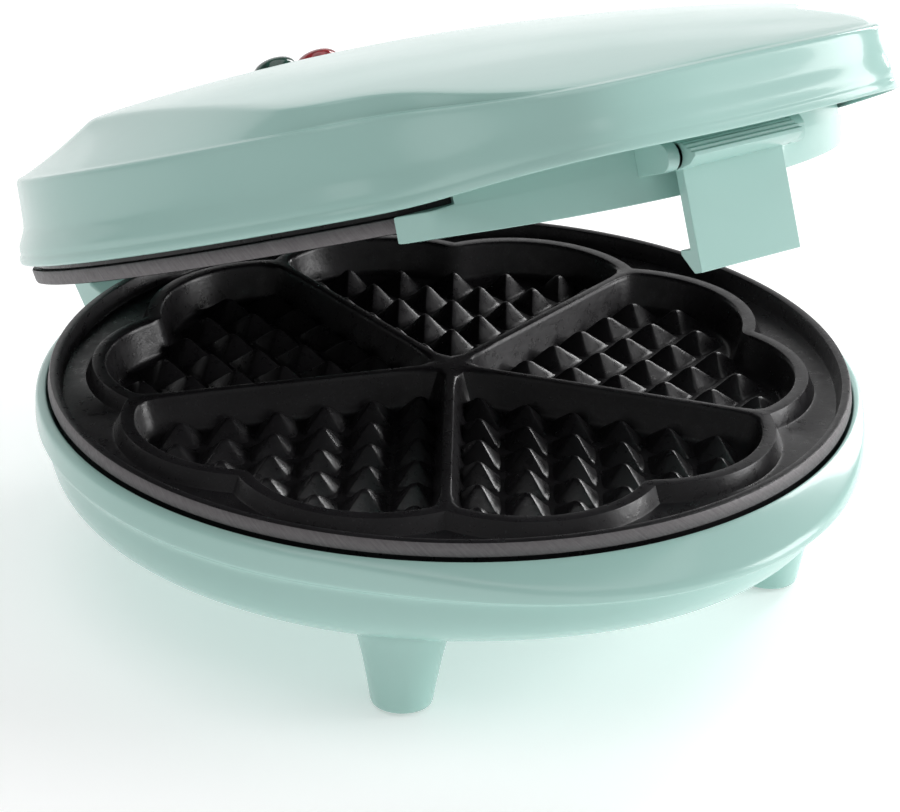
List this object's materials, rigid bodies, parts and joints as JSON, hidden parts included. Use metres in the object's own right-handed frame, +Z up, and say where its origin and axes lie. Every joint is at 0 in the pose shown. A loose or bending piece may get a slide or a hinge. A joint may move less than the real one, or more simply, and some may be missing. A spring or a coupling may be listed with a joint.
{
  "type": "heart waffle maker",
  "caption": "Round two-plate waffle maker in a mint plastic shell, hinged at the back, with heart-shaped pockets and a latch under the handle.",
  "frame": {"origin": "on the surface it stands on, under the middle of the whole object's box with the lid partly open", "axes": "+Z up; -Y towards the handle and latch, +Y towards the hinge; +X to the right seen from the front"},
  "size_m": [0.1964, 0.216, 0.152],
  "materials": {
    "mint_shell": "glossy moulded plastic",
    "non_stick_plate": "die-cast aluminium with a dark non-stick coating",
    "element_sheath": "heat-darkened steel sheath",
    "tin_plate": "tin-plated sheet",
    "steel": "zinc-plated",
    "black_plastic": "matte",
    "ceramic_block": "unglazed",
    "fuse_sleeve": "glass-fibre sleeve",
    "foot_rubber": "soft matte",
    "red_lens": "clear red",
    "green_lens": "clear green",
    "lamp_glass": "small glass bulb"
  },
  "bodies": {
    "base": {"base_shell": "mint_shell", "foot_pad_1": "foot_rubber", "foot_pad_2": "foot_rubber", "foot_pad_3": "foot_rubber", "foot_pad_4": "foot_rubber", "lower_plate": "non_stick_plate", "lower_heating_element": "element_sheath", "lower_reflector": "tin_plate", "lower_plate_screw_1": "steel", "lower_plate_screw_2": "steel", "lower_plate_screw_3": "steel", "thermostat": "black_plastic", "thermal_fuse": "fuse_sleeve", "terminal_block": "ceramic_block", "cord_clamp": "black_plastic", "cord_grommet": "black_plastic", "hinge_pin_left": "steel", "hinge_pin_right": "steel"},
    "lid": {"lid_shell": "mint_shell", "handle_cover": "mint_shell", "upper_plate": "non_stick_plate", "upper_heating_element": "element_sheath", "upper_reflector": "tin_plate", "upper_plate_screw_1": "steel", "upper_plate_screw_2": "steel", "upper_plate_screw_3": "steel", "upper_thermal_fuse": "fuse_sleeve", "lamp_holder": "black_plastic", "red_lamp_lens": "red_lens", "red_lamp_bulb": "lamp_glass", "green_lamp_lens": "green_lens", "green_lamp_bulb": "lamp_glass", "latch_pin": "steel"},
    "latch": {"latch_clip": "mint_shell"}
  },
  "joints": [
    {"name": "lid_hinge", "type": "hinge", "parent": "base", "child": "lid", "pos_m": [0, 0.1012, 0.0481], "axis": [-1, 0, 0], "range_deg": [-21.5, 73.5]},
    {"name": "latch_pivot", "type": "hinge", "parent": "lid", "child": "latch", "pos_m": [0, -0.0964, 0.13228], "axis": [-1, 0, 0], "range_deg": [-9, 25]}
  ]
}
